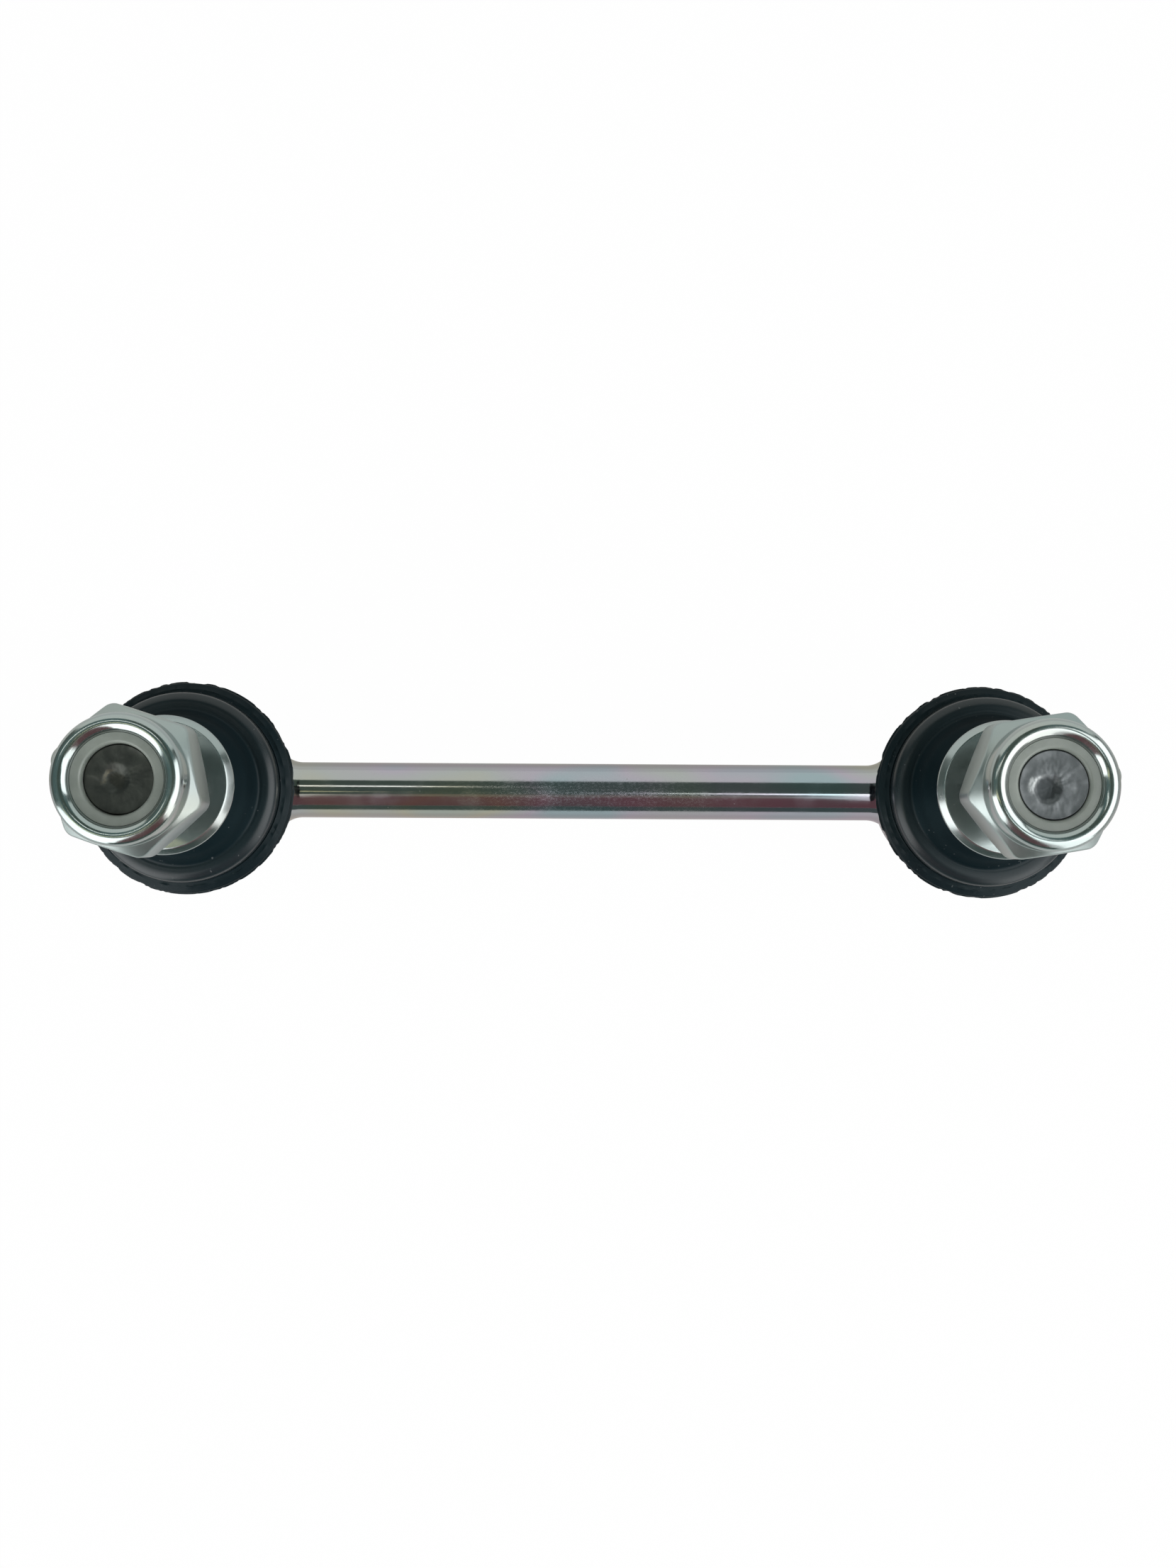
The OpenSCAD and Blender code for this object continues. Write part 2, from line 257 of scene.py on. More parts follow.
ROD_R = 4.0
UPSET_R = 5.0
UPSET_FROM = 43.5
ROD_REACH = 45.5
FLARE_R = 4.0

flare_turn = math.degrees(math.acos((FLARE_R - (UPSET_R - ROD_R)) / FLARE_R))
flare_l = FLARE_R * math.sin(math.radians(flare_turn))
rod_half = arc((ROD_R + FLARE_R, UPSET_FROM - flare_l), FLARE_R, 180, 180 - flare_turn, 12)
rod_half += [(UPSET_R, ROD_REACH), (0.0, ROD_REACH)]
rod_outline = [(r, -x) for r, x in reversed(rod_half)] + rod_half
rod_tones = [
    (0.35, 0.43, 0.46), (0.45, 0.41, 0.47), (0.43, 0.44, 0.43), (0.46, 0.45, 0.36),
    (0.39, 0.44, 0.41),
]
rod_zinc = zinc("rod_zinc", rod_tones, 0.10, 0.001, stretch=(0.06, 1.0, 1.0), scuffed_mm=34.0)
along_x = Matrix.Translation(middle("link_rod")) @ Matrix.Rotation(math.radians(90), 4, "Y")
rod = piece("drawn_rod", spun(rod_outline), along_x, "rod_zinc", rod_zinc)
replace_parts(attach(rod, "link"), "link_rod")

# Socket housings. Forged steel cups, turned outside and bored for the seat, and welded to the
# rod's ends. A groove under the mouth holds the boot, and the lower rim is rolled in over the
# end cap. They are plated together with the rod.


MOST_OF_SIDE = 0.48


def rounded(corners, closed=True, steps=4):
    """An outline through (radius, height, rounding) corners, with an arc at each rounding."""
    points = []
    last = len(corners) - 1
    for i, (r, z, radius) in enumerate(corners):
        if radius == 0 or (not closed and i in (0, last)):
            points.append((r, z))
            continue
        here = Vector((r, z))
        back = Vector(corners[i - 1][:2]) - here
        ahead = Vector(corners[(i + 1) % len(corners)][:2]) - here
        half = back.angle(ahead) / 2
        longest = MOST_OF_SIDE * min(back.length, ahead.length)
        reach = min(radius / math.tan(half), longest)
        radius = reach * math.tan(half)
        to_centre = (back.normalized() + ahead.normalized()).normalized()
        centre = here + to_centre * (radius / math.sin(half))
        first = here + back.normalized() * reach - centre
        turn = first.angle_signed(here + ahead.normalized() * reach - centre)
        for k in range(steps + 1):
            spoke = first.copy()
            spoke.rotate(Matrix.Rotation(-turn * k / steps, 2))
            points.append(tuple(centre + spoke))
    return points


HOUSING_R = 12.0
HOUSING_H = 20.0
ROLLED_LIP_R = 9.1
CAP_SEAT_R = 10.6
CAP_UNDER = 0.8
CAP_TOP = 2.2
SEAT_BORE_R = 10.0
MOUTH_R = 9.2
MOUTH_FROM = 17.0
MOUTH_TO = 19.2
GROOVE_R = 11.1
GROOVE_FROM = 17.2
FLANGE_R = 11.7
FLANGE_FROM = 19.2

housing_outline = rounded([
    (ROLLED_LIP_R, 0.0, 0.3), (HOUSING_R, 0.0, 1.5), (HOUSING_R, GROOVE_FROM, 0.25),
    (GROOVE_R, GROOVE_FROM, 0.1), (GROOVE_R, FLANGE_FROM, 0.1), (FLANGE_R, FLANGE_FROM, 0.15),
    (FLANGE_R, HOUSING_H, 0.25), (SEAT_BORE_R, HOUSING_H, 0.2), (MOUTH_R, MOUTH_TO, 0.2),
    (MOUTH_R, MOUTH_FROM, 0.15), (SEAT_BORE_R, MOUTH_FROM, 0.1), (SEAT_BORE_R, CAP_TOP, 0.1),
    (CAP_SEAT_R, CAP_TOP, 0.1), (CAP_SEAT_R, CAP_UNDER, 0.1), (ROLLED_LIP_R, CAP_UNDER, 0.2),
])
housing_tones = [(0.39, 0.42, 0.41), (0.42, 0.42, 0.43), (0.43, 0.43, 0.39)]
housing_zinc = zinc("housing_zinc", housing_tones, 0.22, 0.010, stretch=(1.0, 1.0, 6.0))
end_of = {}
for side in SIDES:
    centre = middle(f"{side}_socket_housing")
    end_of[side] = Matrix.Translation((centre.x, centre.y, 0.0))
    housing = piece(
        f"{side}_housing_cup", spun(housing_outline, closed=True), end_of[side],
        "housing_zinc", housing_zinc)
    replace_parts(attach(housing, "link"), f"{side}_socket_housing")

# End caps. Discs pressed from steel sheet, with a shallow round recess, that close the housings
# underneath. The rolled rim of the housing holds each one; they are plated before they go in.

CAP_R = 10.5
RECESS_R = 6.0
RECESS_TOP = 1.2
RECESS_SLOPE = 0.3

cap_outline = rounded([
    (0.0, RECESS_TOP, 0), (RECESS_R, RECESS_TOP, 0.15), (RECESS_R + RECESS_SLOPE, CAP_UNDER, 0.2),
    (CAP_R, CAP_UNDER, 0.1), (CAP_R, CAP_TOP, 0.1), (0.0, CAP_TOP, 0),
], closed=False)
cap_tones = [(0.37, 0.39, 0.38), (0.40, 0.40, 0.40), (0.41, 0.41, 0.38)]
cap_zinc = zinc("cap_zinc", cap_tones, 0.30, 0.012)
for side in SIDES:
    cap = piece(f"{side}_pressed_cap", spun(cap_outline), end_of[side], "cap_zinc", cap_zinc)
    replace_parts(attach(cap, "link"), f"{side}_end_cap")

# Ball seats and balls. Moulded acetal cups, pushed into the housings round ground steel balls.
# Both are greased and out of sight inside the closed joint, and keep their own CAD shapes.


def dress(node, material):
    """Gives a CAD node's own mesh a new material."""
    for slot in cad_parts[node].material_slots:
        slot.material = material


def acetal(start):
    cloud = start.where().grain(300, 3.0)
    return {
        "Base Color": cloud.above(0.3, 0.7).blend((0.76, 0.74, 0.68), (0.82, 0.81, 0.76)),
        "Roughness": cloud * 0.15 + 0.30,
    }


def ground_steel(start):
    fine = start.where().grain(3000, 2.0)
    return {
        "Base Color": fine.above(0.35, 0.65).blend((0.55, 0.55, 0.55), (0.62, 0.62, 0.61)),
        "Roughness": fine * 0.08 + 0.08,
    }


seat_acetal = finish("seat_acetal", {"Subsurface Weight": 0.1}, acetal)
ball_steel = finish("ball_steel", {"Metallic": 1.0}, ground_steel)
for side in SIDES:
    dress(f"{side}_ball_seat", seat_acetal)
    dress(f"{side}_ball", ball_steel)

# Ball studs. Cold-headed steel: a neck over the ball, a seat for the boot, a round collar that
# the bracket is clamped against, and above it a plain pilot and a rolled M10 x 1.25 thread.
# The end is left as sheared, rough and dished; the left end is painted darker as painted shade.

BALL_Z = 11.5
ROOT_R = 8.05
ROOT_EDGE = 58.13
NECK_FROM = 18.34
NECK_TO = 25.4
BOOT_SEAT_R = 6.0
BOOT_SEAT_FROM = 27.0
COLLAR_R = 9.3
COLLAR_UNDER = 30.0
COLLAR_TOP = 31.3
COLLAR_BEVEL = 0.8
PILOT_R = 5.0
PILOT_TO = 35.8
PITCH = 1.25
CORE_R = 4.25
CORE_FROM = 36.5
CORE_TO = 50.1
CREST_R = 4.93
CREST_HALF = 0.08
LEAD_R = 3.8
VALLEY_R = 4.18
FLANK = math.tan(math.radians(30))
THREAD_FROM = 36.1
THREAD_END = 0.35
LEAST_FADE = 0.02
STUD_TIP = 50.3
TIP_FLAT_R = 4.12
TIP_STEP = 0.2
TORN_R = TIP_FLAT_R + 0.1
TORN_DEPTH = 0.2
END_DEPTH = 1.2
DISH_R = 1.75
DISH_DEPTH = 0.42
DISH_AT = {"left": (-0.3, 0.0), "right": (-0.75, -0.5)}


def ridge(root, crest, z_from, z_to, steps=56):
    """A helical thread ridge, as a closed strip. root is its hidden base radius, and crest a
    function of height."""
    verts, faces = [], []
    last = round((z_to - z_from) / PITCH * steps)
    for k in range(last + 1):
        turn = 2 * math.pi * (z_from / PITCH + k / steps)
        z = z_from + PITCH * k / steps
        fade = min(1.0, k / steps, (last - k) / steps)
        top = root + (crest(z) - root) * max(fade, LEAST_FADE)
        base_half = CREST_HALF + abs(crest(z) - root) * FLANK
        corners = ((root, -base_half), (top, -CREST_HALF), (top, CREST_HALF), (root, base_half))
        verts += [(r * math.cos(turn), r * math.sin(turn), z + dz) for r, dz in corners]
    for k in range(last):
        for j in range(4):
            a, b = 4 * k + j, 4 * k + (j + 1) % 4
            faces.append((a, a + 4, b + 4, b))
    faces += [(0, 1, 2, 3), (4 * last + 3, 4 * last + 2, 4 * last + 1, 4 * last)]
    if root > crest(z_from):
        faces = [(a, d, c, b) for a, b, c, d in faces]
    return verts, faces


def sheared(verts, seed, dish_at):
    """Roughens the stud's end: a ragged face, with a dish torn by the shears off the middle."""
    moved = []
    for x, y, z in verts:
        r = math.hypot(x, y)
        if z > STUD_TIP - TORN_DEPTH and r < TORN_R:
            spot = Vector((x, y, seed))
            ragged = 0.08 * noise.noise(spot * 0.8) + 0.03 * noise.noise(spot * 3.1)
            reach = DISH_R * (1 + 0.25 * noise.noise(spot * 0.6))
            off = math.hypot(x - dish_at[0], y - dish_at[1])
            dish = DISH_DEPTH * max(0.0, 1 - (off / reach) ** 2) ** 0.8
            z += min(0.0, ragged - 0.08) * min(1.0, (TORN_R - r) * 4) - dish
        moved.append((x, y, z))
    return moved


def sheared_steel(name, dark, bright, painted_pit_shade, painted_glint, reach, dish_at):
    """The stud's end: torn steel, with painted shade in a pit in the dish and a painted highlight
    crescent on the dish's left edge. reach is the crescent's size, and dish_at the middle of the
    dish."""
    def varying(start):
        place = start.where()
        torn = place.stretched((1.0, 0.7, 1.0)).grain(700, 4.0)
        worn = torn.above(0.36, 0.70)
        # Painted highlight: a brighter crescent round the dish on its left edge. Painted shade: a
        # darker pit in the dish's middle.
        x = place.part("X") - dish_at[0]
        y = place.part("Y") - dish_at[1]
        square = x * x + y * y * 1.5
        off = (square.math("SQRT", square) + (torn - 0.5) * (2.4 * MM)) * (1.0 / reach)
        band = off.above(1.15 * MM, 1.4 * MM) * (1.0 - off.above(1.5 * MM, 1.9 * MM))
        ripple = place.stretched((1.0, 0.4, 1.0)).grain(3500, 2.0).above(0.3, 0.6)
        painted_highlight_side = (y * 0.6 - x).above(0.8 * reach * MM, 1.6 * reach * MM)
        painted_highlight_crescent = band * (ripple * 0.6 + 0.4) * painted_highlight_side
        painted_pit_mask = 1.0 - off.above(0.85 * MM, 1.3 * MM)
        return {
            "Base Color": painted_highlight_crescent.blend(painted_pit_mask.blend(worn.blend(dark, bright), painted_pit_shade), painted_glint),
            "Roughness": worn * -0.10 + 0.48,
            "Normal": torn.relief(0.025),
        }
    return finish(name, {"Metallic": 0.9}, varying)


stud_outline = arc((0.0, BALL_Z), ROOT_R, 90, ROOT_EDGE, 6) + rounded([
    (CORE_R, NECK_FROM, 0), (CORE_R, NECK_TO, 0.6), (BOOT_SEAT_R, BOOT_SEAT_FROM, 0.3),
    (BOOT_SEAT_R, COLLAR_UNDER, 0.15), (COLLAR_R, COLLAR_UNDER, 0.2),
    (COLLAR_R, COLLAR_TOP - COLLAR_BEVEL, 0.35), (COLLAR_R - COLLAR_BEVEL, COLLAR_TOP, 0.35),
    (PILOT_R, COLLAR_TOP, 0.2), (PILOT_R, PILOT_TO, 0.15), (CORE_R, CORE_FROM, 0.2),
    (CORE_R, CORE_TO, 0.05), (TIP_FLAT_R, STUD_TIP, 0.1), (3.3, STUD_TIP, 0),
], closed=False)[1:]
stud_outline += [(TIP_STEP * k, STUD_TIP) for k in range(15, -1, -1)]
stud_tones = [(0.36, 0.41, 0.405), (0.38, 0.42, 0.415), (0.40, 0.42, 0.40)]
stud_zinc = zinc("stud_zinc", stud_tones, 0.19, 0.0004)
# Painted shade: the left end's darker tones. In both ends the pit colour is painted shade and the
# glint colour a painted highlight.
END_LOOKS = {
    "left": {
        "name": "shade_painted_end", "dark": (0.036, 0.040, 0.036), "bright": (0.062, 0.067, 0.060),
        "painted_pit_shade": (0.036, 0.038, 0.032), "painted_glint": (0.10, 0.095, 0.070), "reach": 1.0,
    },
    "right": {
        "name": "plain_sheared_end", "dark": (0.082, 0.091, 0.094), "bright": (0.132, 0.143, 0.147),
        "painted_pit_shade": (0.044, 0.050, 0.052), "painted_glint": (0.36, 0.38, 0.38), "reach": 1.35,
    },
}
thread = ridge(
    VALLEY_R, lambda z: min(CREST_R, LEAD_R + max(STUD_TIP - z, 0.0)),
    THREAD_FROM, STUD_TIP - THREAD_END)
for seed, side in enumerate(SIDES):
    stud_verts, stud_faces = spun(stud_outline)
    stud_verts = sheared(stud_verts, 4.7 * seed + 1.3, DISH_AT[side])
    dish = end_of[side] @ (Vector((*DISH_AT[side], 0.0)) * MM)
    stud = piece(
        f"{side}_threaded_stud", joined((stud_verts, stud_faces), thread), end_of[side],
        "stud_zinc", stud_zinc, sheared_steel(**END_LOOKS[side], dish_at=dish),
        pick=lambda p: int(p.z > STUD_TIP - END_DEPTH))
    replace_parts(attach(stud, f"{side}_stud_body"), f"{side}_ball_stud")

# Boot rings. Round spring wire, phosphated, wound into closed rings that lie in grooves of the
# rubber: a wide one on the boot's foot round the housing, and a small one on its neck.


def phosphated(start):
    place = start.where()
    bloom = place.grain(1200, 3.0)
    return {
        "Base Color": bloom.above(0.35, 0.7).blend((0.10, 0.10, 0.10), (0.22, 0.22, 0.21)),
        "Roughness": bloom * 0.2 + 0.35,
        "Normal": place.grain(6000, 2.0).relief(0.01),
    }


ring_wire = finish("ring_wire", {"Metallic": 1.0}, phosphated)
for side in SIDES:
    dress(f"{side}_boot_base_ring", ring_wire)
    dress(f"{side}_boot_neck_ring", ring_wire)

# Dust boots. Black moulded rubber: a lip in the housing's groove, a shiny dome, a crease, a greased
# upper fold and a thick neck on the stud, with mould flash left ragged round the lip. Each is made
# in two lengths that meet just above the crease.

RUBBER_T = 0.9
GRIP_ROOM = 0.1
LIP_UNDER = GROOVE_FROM + GRIP_ROOM
LIP_R = 14.75
LIP_GRIP_R = GROOVE_R + GRIP_ROOM
FLASH_R = 14.98
FLASH_FROM_R = 14.9
FLASH_MM = 0.28
SEAM_R = (13.83, 13.97)
SEAM_Z = (18.9, 19.0)
SEAM_MM = 0.06
SIDE_R = 13.25
FOOT_Z = 20.7
NECK_R = 8.2
NECK_BORE_R = 6.1
NECK_Z = 27.1
BOOT_TOP = 29.7
BOOT_CURVE = [
    (SIDE_R, 0.0), (13.05, 0.13), (12.25, 0.215), (11.4, 0.24), (10.8, 0.255), (10.2, 0.36),
    (9.6, 0.51), (8.675, 0.66), (7.75, 0.84), (NECK_R, 1.0),
]
CURVE_STEPS = 8
MEETING = 5 * CURVE_STEPS + 4
WIRE_R = 0.45
WIRE_DEPTH = 0.05
WIRE_ROOM = 0.1
BASE_WIRE = (12.75, 19.5)
NECK_WIRE = (7.7, 28.4)
BOOT_ANGLES = 256


def smooth_curve(points, steps):
    """A smooth curve through the points, with this many steps to each stretch."""
    ends = [points[0], *points, points[-1]]
    curve = []
    for stretch in zip(ends, ends[1:], ends[2:], ends[3:]):
        for t in (k / steps for k in range(steps)):
            curve.append(tuple(
                0.5 * (2 * b + (c - a) * t + (2 * a - 5 * b + 4 * c - d) * t ** 2
                       + (3 * b - a - 3 * c + d) * t ** 3)
                for a, b, c, d in zip(*stretch)))
    return curve + [points[-1]]


def inside_of(curve, thickness):
    """The curve moved inwards by the rubber's thickness."""
    moved = []
    for i, (r, z) in enumerate(curve):
        along = Vector(curve[min(i + 1, len(curve) - 1)]) - Vector(curve[max(i - 1, 0)])
        shift = thickness * along.y / along.length, thickness * along.x / along.length
        moved.append((r - shift[0], z + shift[1]))
    return moved


def wire_groove(wire):
    """A round groove in an upright wall, for a wire whose middle is at this (radius, height)."""
    wall = math.degrees(math.acos((WIRE_R + WIRE_DEPTH) / (WIRE_R + WIRE_ROOM)))
    return arc(wire, WIRE_R + WIRE_ROOM, -wall, wall - 360, 14)


def flashed(verts, seed):
    """Tears the thin flash that stands out from the lower lip, and the seam on top of it."""
    moved = []
    for x, y, z in verts:
        r = math.hypot(x, y)
        if r > FLASH_FROM_R:
            spot = Vector((x, y, seed))
            torn = 0.05 + 0.9 * noise.noise(spot * 0.35) + 0.7 * noise.noise(spot * 1.3)
            torn += 0.5 * noise.noise(spot * 3.7)
            shrink = 1 - FLASH_MM * min(1.0, max(0.0, torn)) / r
            x, y = x * shrink, y * shrink
        elif SEAM_R[0] < r < SEAM_R[1] and SEAM_Z[0] < z < SEAM_Z[1]:
            torn = 0.6 + 1.6 * noise.noise(Vector((x, y, seed + 9.0)) * 0.9)
            z -= SEAM_MM * min(1.0, max(0.0, torn))
        moved.append((x, y, z))
    return moved


def black_rubber(start):
    place = start.where()
    skin = place.grain(420, 4.0)
    bloom = place.grain(90, 3.0).above(0.42, 0.68)
    specks = place.grain(1700, 1.0).above(0.72, 0.77) * place.grain(220, 2.0).above(0.45, 0.6)
    black = bloom.blend((0.0009, 0.0050, 0.0070), (0.0024, 0.0080, 0.0104))
    height = place.part("Z")
    dome = height.above(19.3 * MM, 20.8 * MM) * 0.7 + 0.2
    fold = height.above(21.9 * MM, 22.5 * MM)
    return {
        "Base Color": (specks * 0.5).blend(black, (0.16, 0.17, 0.17)),
        "Roughness": skin * 0.20 + 0.40,
        "Coat Weight": dome * (1.0 - fold),
        "Normal": (skin + place.grain(2400, 3.0) * 0.5).relief(0.02),
    }


rubber_gloss = {
    "Specular IOR Level": 0.12, "Specular Tint": (0.58, 0.90, 1.0, 1.0), "Coat Roughness": 0.27,
}
boot_rubber = finish("boot_rubber", rubber_gloss, black_rubber)
boot_points = [(r, FOOT_Z + share * (NECK_Z - FOOT_Z)) for r, share in BOOT_CURVE]
outer = smooth_curve(boot_points, CURVE_STEPS)
inner = inside_of(outer, RUBBER_T)
lower_inner = [p for p in inner[:MEETING + 1] if p[1] > HOUSING_H + 2 * GRIP_ROOM]
upper_inner = [p for p in inner[MEETING:] if p[1] < NECK_Z]
lower_outline = rounded([
    (LIP_GRIP_R, LIP_UNDER, 0), (LIP_R, LIP_UNDER, 0.2), (LIP_R, 17.75, 0), (FLASH_R, 17.82, 0),
    (FLASH_R, 17.9, 0), (LIP_R, 17.97, 0), (LIP_R, 18.62, 0.3), (14.00, 18.84, 0),
    (13.94, 18.92, 0), (13.86, 18.94, 0), (13.80, 18.90, 0), (SIDE_R, 19.05, 0.1),
    (SIDE_R, 19.2, 0),
], closed=False)
lower_outline += wire_groove(BASE_WIRE) + outer[:MEETING + 1] + lower_inner[::-1]
lower_outline += [
    (FLANGE_R + GRIP_ROOM, HOUSING_H + GRIP_ROOM), (FLANGE_R + GRIP_ROOM, FLANGE_FROM - GRIP_ROOM),
    (LIP_GRIP_R, FLANGE_FROM - GRIP_ROOM),
]
upper_outline = outer[MEETING:] + wire_groove(NECK_WIRE)
upper_outline += rounded([
    (NECK_R, 29.1, 0), (NECK_R, BOOT_TOP, 0.35), (NECK_BORE_R, BOOT_TOP, 0.2),
    (NECK_BORE_R, NECK_Z, 0),
], closed=False)
upper_outline += upper_inner[::-1]
meeting_z = sorted((outer[MEETING][1], inner[MEETING][1]))
for seed, side in enumerate(SIDES):
    x = end_of[side].translation.x
    lower_verts, lower_faces = spun(lower_outline, BOOT_ANGLES, closed=True)
    lower = piece(
        f"{side}_boot_lower", (flashed(lower_verts, 3.1 * seed), lower_faces), end_of[side],
        "boot_rubber", boot_rubber)
    meeting_z[0] * MM
    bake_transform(lower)
    upper = piece(
        f"{side}_boot_upper", spun(upper_outline, BOOT_ANGLES, closed=True), end_of[side],
        "boot_rubber", boot_rubber)
    meeting_z[1] * MM
    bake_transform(upper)
    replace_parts(lower, f"{side}_dust_boot")
    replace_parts(upper, f"{side}_dust_boot")

# Lock nuts. Hexagon nuts with 17 mm flats, cold formed, chamfered and zinc plated. The rim on top
# is crimped inwards in a round curl that holds the locking ring, and the tool burnishes it.

FLAT_R = 8.5
HEX_CORNER_R = 1.6
HEX_H = 6.6
HEX_CHAMFER = 1.1
FACE_R = 7.95
RIM_R = 8.0
RIM_FROM = HEX_H + 0.3
CURL_R = 1.2
NUT_H = 10.0
BORE_R = 5.0
BORE_MOUTH_R = 5.3
BORE_MOUTH_H = 0.6
RING_WALL_R = 7.43
RING_SEAT_Z = 6.97
NUT_CREST_R = CORE_R + 0.1
NUT_THREAD_SINK = 0.06
NUT_THREAD_Z = (1.0 + PITCH / 2, RING_SEAT_Z - 0.8)
HALF_FACE = math.radians(30)
SHARP_R = FLAT_R / math.cos(HALF_FACE)
LOWER_SLOPE = HEX_CHAMFER / (SHARP_R - FACE_R)
UPPER_SLOPE = 0.85
CURL_AT = (RIM_R - CURL_R, NUT_H - CURL_R)
CURL_END = 360 - math.degrees(math.acos((RING_WALL_R - CURL_AT[0]) / CURL_R))
NUT_TURN = {"left": math.radians(42), "right": math.radians(9)}
FACE_STEPS = (*range(-29, -5, 3), *range(-5, 6), *range(8, 30, 3))


def hexagon_r(from_corner):
    """Radius of a hexagon with rounded corners, at an angle from its nearest corner."""
    from_flat = HALF_FACE - abs(from_corner)
    inner_r = FLAT_R - HEX_CORNER_R
    if math.tan(from_flat) * FLAT_R <= inner_r * math.tan(HALF_FACE):
        return FLAT_R / math.cos(from_flat)
    corner_at = inner_r / math.cos(HALF_FACE)
    across = corner_at * math.sin(from_corner)
    return corner_at * math.cos(from_corner) + math.sqrt(HEX_CORNER_R ** 2 - across ** 2)


def nut_outline(turn):
    """The nut's outline at any angle, with its first corner at this turn."""
    def at(angle):
        sixth = 2 * HALF_FACE
        r = hexagon_r((angle - turn + HALF_FACE) % sixth - HALF_FACE)
        hexagon = rounded([
            (BORE_R, BORE_MOUTH_H, 0), (BORE_MOUTH_R, 0.0, 0.1), (FACE_R, 0.0, 0.25),
            (r, (r - FACE_R) * LOWER_SLOPE, 0.4), (r, HEX_H - (r - RIM_R) * UPPER_SLOPE, 0.7),
            (RIM_R, HEX_H, 0.35), (RIM_R, CURL_AT[1], 0),
        ], closed=False)
        curl = arc(CURL_AT, CURL_R, 0, CURL_END, 36)[1:]
        return hexagon + curl + [(RING_WALL_R, RING_SEAT_Z), (BORE_R, RING_SEAT_Z)]
    return at


nut_tones = [(0.34, 0.41, 0.40), (0.37, 0.42, 0.41), (0.39, 0.42, 0.385)]
nut_zinc = zinc("nut_zinc", nut_tones, 0.33, 0.001)
rim_tones = [(0.37, 0.43, 0.42), (0.395, 0.44, 0.43), (0.42, 0.44, 0.41)]
rim_zinc = zinc("rim_zinc", rim_tones, 0.14, 0.0005)
half_turn = Matrix.Rotation(math.pi, 4, "Z")
for side in SIDES:
    low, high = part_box(f"{side}_lock_nut")
    turn = NUT_TURN[side]
    spokes = [turn + math.radians(60 * corner + step) for corner in range(6) for step in FACE_STEPS]
    base = low.z / MM
    groove_verts, groove_faces = ridge(
        BORE_R + NUT_THREAD_SINK, lambda z: NUT_CREST_R, *(base + z for z in NUT_THREAD_Z))
    groove_verts = [tuple(half_turn @ Vector((x, y, z - base))) for x, y, z in groove_verts]
    hexagon = spun(nut_outline(turn), spokes, closed=True)
    nut = piece(
        f"{side}_hex_nut", joined(hexagon, (groove_verts, groove_faces)),
        end_of[side] @ Matrix.Translation((0, 0, low.z)), "nut_zinc", nut_zinc, rim_zinc,
        pick=lambda p: int(p.z > RIM_FROM))
    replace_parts(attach(nut, f"{side}_nut_body"), f"{side}_lock_nut")

# Locking rings. Grey-beige nylon washers, pressed into the nuts and held by the crimped rim. The
# bore is smaller than the thread, which forms its own way through the ring and is gripped by it.

RING_BORE_R = 4.31
RING_OUT_R = 7.4
RING_UNDER = 7.0
RING_FACE_Z = NUT_H - 0.9
RING_FACE_R = 5.5
RING_BORE_Z = 8.0
CURL_GAP = CURL_R + 0.03

under_curl = math.degrees(math.acos((RING_OUT_R - CURL_AT[0]) / CURL_GAP))
to_face = math.degrees(math.asin((RING_FACE_Z - CURL_AT[1]) / CURL_GAP))
ring_outline = [(RING_BORE_R, RING_UNDER), (RING_OUT_R, RING_UNDER)]
ring_outline += arc(CURL_AT, CURL_GAP, -under_curl, -180 - to_face, 12)
ring_outline += rounded(
    [(RING_FACE_R, RING_FACE_Z, 0), (RING_BORE_R, RING_FACE_Z, 0.4), (RING_BORE_R, RING_BORE_Z, 0)],
    closed=False, steps=6)


def nylon(start):
    place = start.where()
    cloud = place.grain(350, 3.0)
    return {
        "Base Color": cloud.above(0.3, 0.7).blend((0.200, 0.229, 0.203), (0.238, 0.270, 0.240)),
        "Roughness": cloud * 0.2 + 0.28,
        "Normal": place.grain(2500, 3.0).relief(0.015),
    }


nylon_depth = {
    "Subsurface Weight": 0.35, "Subsurface Radius": (0.6, 0.6, 0.5), "Subsurface Scale": MM,
}
insert_nylon = finish("insert_nylon", nylon_depth, nylon)
for side in SIDES:
    nut_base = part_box(f"{side}_lock_nut")[0].z
    ring = piece(
        f"{side}_locking_ring", spun(ring_outline, closed=True),
        end_of[side] @ Matrix.Translation((0, 0, nut_base)), "insert_nylon", insert_nylon)
    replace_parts(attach(ring, f"{side}_insert_body"), f"{side}_nylon_insert")

# Stage. A white sheet that the link lies on, in a pale room with two windows, a dark ceiling with
# strip lights over the bench, and a tan rail and a dull red cloth on the near side. Everything but
# the sheet is seen only in the plating.

WHITE = (1.0, 1.0, 1.0)
SHEET_HALF = 4.0
SHEET_Z = -0.1 * MM
SHEET_GLOW = 0.985
PAINTED_SHADOW_REACH = 60 * MM


def seen_as_background(start):
    """1 for what the camera, the metal and clear parts see directly, 0 for plain light."""
    camera_ray, glossy_ray, clear_ray = (
        start.node("ShaderNodeLightPath", {}, {}, output)
        for output in ("Is Camera Ray", "Is Glossy Ray", "Is Transmission Ray"))
    return start.math("MAXIMUM", start.math("MAXIMUM", camera_ray, glossy_ray), clear_ray)


def overhead(x0, y0, x1, y1, z):
    """Corners of a level card."""
    return [(x0, y0, z), (x1, y0, z), (x1, y1, z), (x0, y1, z)]


def upright(start, end, z0, z1):
    """Corners of an upright card between two (x, y) places."""
    return [(*start, z0), (*end, z0), (*end, z1), (*start, z1)]


def flat_card(name, corners, material):
    data = bpy.data.meshes.new(name)
    data.from_pydata(corners, [], [(0, 1, 2, 3)])
    data.materials.append(material)
    made = bpy.data.objects.new(name, data)
    bpy.context.scene.collection.objects.link(made)
    return made


